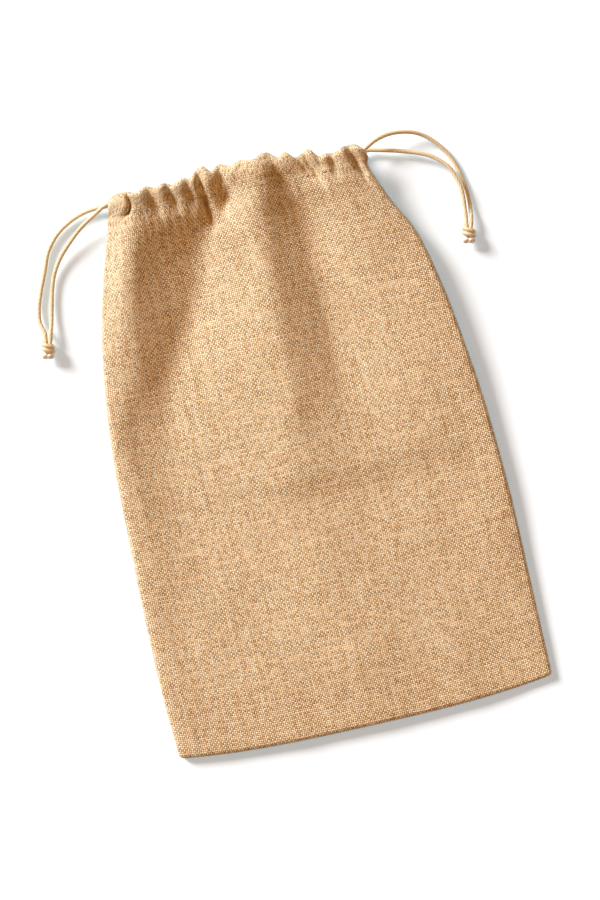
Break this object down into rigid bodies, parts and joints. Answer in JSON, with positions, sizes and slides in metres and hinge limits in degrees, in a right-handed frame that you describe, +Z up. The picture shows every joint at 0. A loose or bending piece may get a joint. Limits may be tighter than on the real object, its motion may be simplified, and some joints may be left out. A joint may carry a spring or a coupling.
{
  "type": "burlap sack",
  "caption": "Empty drawstring sack of woven jute, lying flat with its mouth gathered; a knotted cord comes out at each end of the casing.",
  "frame": {"origin": "middle of the sack's length and width, on the surface that it lies on", "axes": "+X across the sack, +Y from the bottom fold to the mouth, +Z up from the surface"},
  "size_m": [0.36, 0.462, 0.0295],
  "materials": {
    "jute": "undyed plain-woven jute with slubs, matt",
    "waxed_cord": "round waxed cord, slightly shiny"
  },
  "bodies": {
    "root": {"sack_cloth": "jute", "drawcord_left": "waxed_cord", "drawcord_right": "waxed_cord", "knot_left": "waxed_cord", "knot_right": "waxed_cord"}
  },
  "joints": []
}
